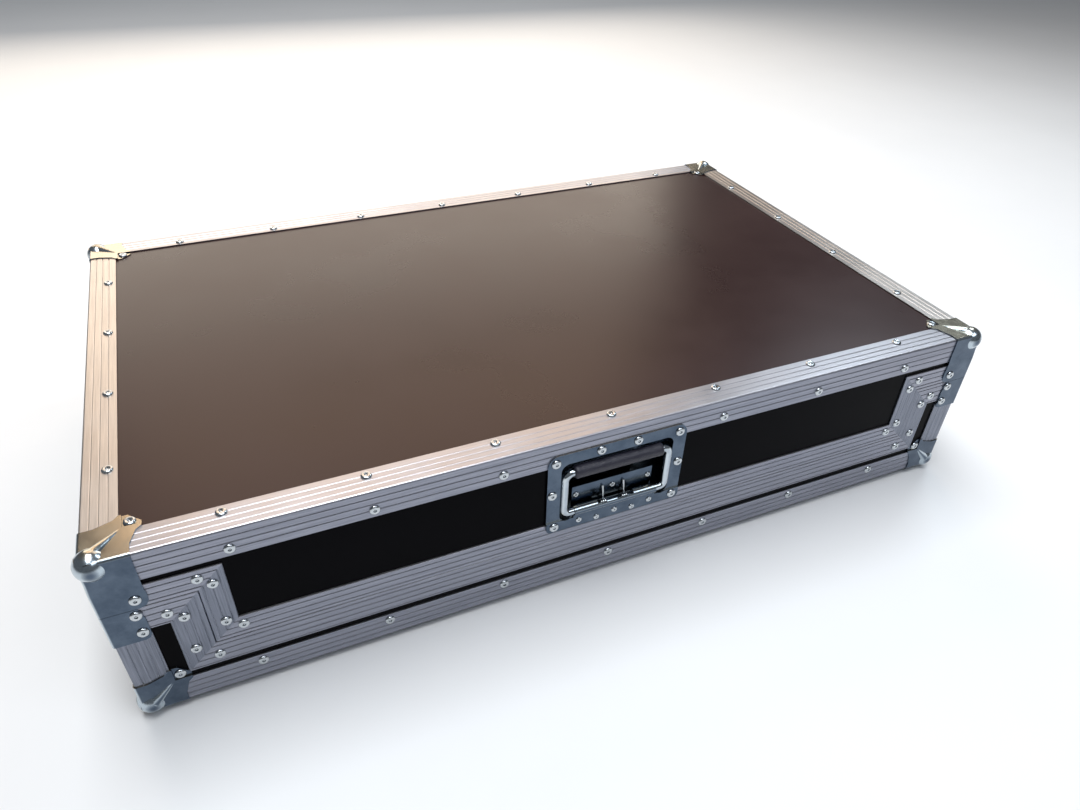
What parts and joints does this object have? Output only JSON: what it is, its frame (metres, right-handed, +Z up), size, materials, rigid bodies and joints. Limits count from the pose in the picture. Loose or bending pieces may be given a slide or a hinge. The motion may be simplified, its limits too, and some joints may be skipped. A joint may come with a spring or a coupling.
{
  "type": "flight case",
  "caption": "Low black flight case for a DJ controller, with ribbed aluminium edges, steel ball corners, a stepped front seam and a sprung bail handle.",
  "frame": {"origin": "middle of the bounding box's underside, on the floor under the feet", "axes": "+X along the long side, +Y from the front towards the back, +Z up"},
  "size_m": [0.957, 0.6041, 0.2095],
  "materials": {
    "black_plywood": "black film",
    "aluminium": "brushed",
    "plated_steel": "zinc plated",
    "rivet_steel": "bright",
    "rubber": "matte",
    "foam": "open cell foam"
  },
  "bodies": {
    "base": {"base_back_panel": "black_plywood", "base_ball_corners": "plated_steel", "base_corner_angles": "aluminium", "base_corner_braces": "plated_steel", "base_edge_back": "aluminium", "base_edge_front": "aluminium", "base_edge_left": "aluminium", "base_edge_right": "aluminium", "base_floor": "black_plywood", "base_foam_floor": "foam", "base_foam_sides": "foam", "base_front_panel": "black_plywood", "base_left_panel": "black_plywood", "base_rail_back": "aluminium", "base_rail_front_ends": "aluminium", "base_rail_front_low": "aluminium", "base_rail_left": "aluminium", "base_rail_right": "aluminium", "base_rail_risers": "aluminium", "base_right_panel": "black_plywood", "base_rivets": "rivet_steel", "foot_screws": "rivet_steel", "latch_dish_left": "plated_steel", "latch_dish_right": "plated_steel", "rubber_feet": "rubber"},
    "lid": {"latch_keeper_left": "plated_steel", "latch_keeper_right": "plated_steel", "lid_back_panel": "black_plywood", "lid_ball_corners": "plated_steel", "lid_edge_back": "aluminium", "lid_edge_front": "aluminium", "lid_edge_left": "aluminium", "lid_edge_right": "aluminium", "lid_foam": "foam", "lid_front_panel": "black_plywood", "lid_left_panel": "black_plywood", "lid_rail_back": "aluminium", "lid_rail_front_ends": "aluminium", "lid_rail_front_low": "aluminium", "lid_rail_left": "aluminium", "lid_rail_right": "aluminium", "lid_rail_risers": "aluminium", "lid_right_panel": "black_plywood", "lid_rivets": "rivet_steel", "lid_top": "black_plywood", "handle_plate": "plated_steel", "handle_hinge_plate": "plated_steel", "handle_springs": "rivet_steel", "handle_rivets": "rivet_steel"},
    "handle": {"handle_bail": "plated_steel", "handle_grip": "rubber"},
    "left_key": {"latch_key_left": "plated_steel"},
    "right_key": {"latch_key_right": "plated_steel"},
    "left_hook": {"latch_hook_left": "plated_steel"},
    "right_hook": {"latch_hook_right": "plated_steel"}
  },
  "joints": [
    {"name": "lid_lift", "type": "slide", "parent": "base", "child": "lid", "axis": [0, 0, 1], "range_m": [0, 0.25]},
    {"name": "handle_swing", "type": "hinge", "parent": "lid", "child": "handle", "pos_m": [0, -0.2949, 0.1105], "axis": [1, 0, 0], "range_deg": [0, 90], "stiffness_Nm_per_rad": 0.25, "springref_deg": -20.05},
    {"name": "left_key_turn", "type": "hinge", "parent": "base", "child": "left_key", "pos_m": [-0.473, 0.0016, 0.107], "axis": [-1, 0, 0], "range_deg": [0, 180]},
    {"name": "right_key_turn", "type": "hinge", "parent": "base", "child": "right_key", "pos_m": [0.473, 0.0016, 0.107], "axis": [1, 0, 0], "range_deg": [0, 180]},
    {"name": "left_hook_lean", "type": "hinge", "parent": "base", "child": "left_hook", "pos_m": [-0.4684, 0.0016, 0.091], "axis": [0, 1, 0], "range_deg": [0, 5]},
    {"name": "right_hook_lean", "type": "hinge", "parent": "base", "child": "right_hook", "pos_m": [0.4684, 0.0016, 0.091], "axis": [0, -1, 0], "range_deg": [0, 5]}
  ],
  "couplings": [
    {"joint": "left_hook_lean", "follows": "left_key_turn", "ratio": 0.027778},
    {"joint": "right_hook_lean", "follows": "right_key_turn", "ratio": 0.027778}
  ]
}
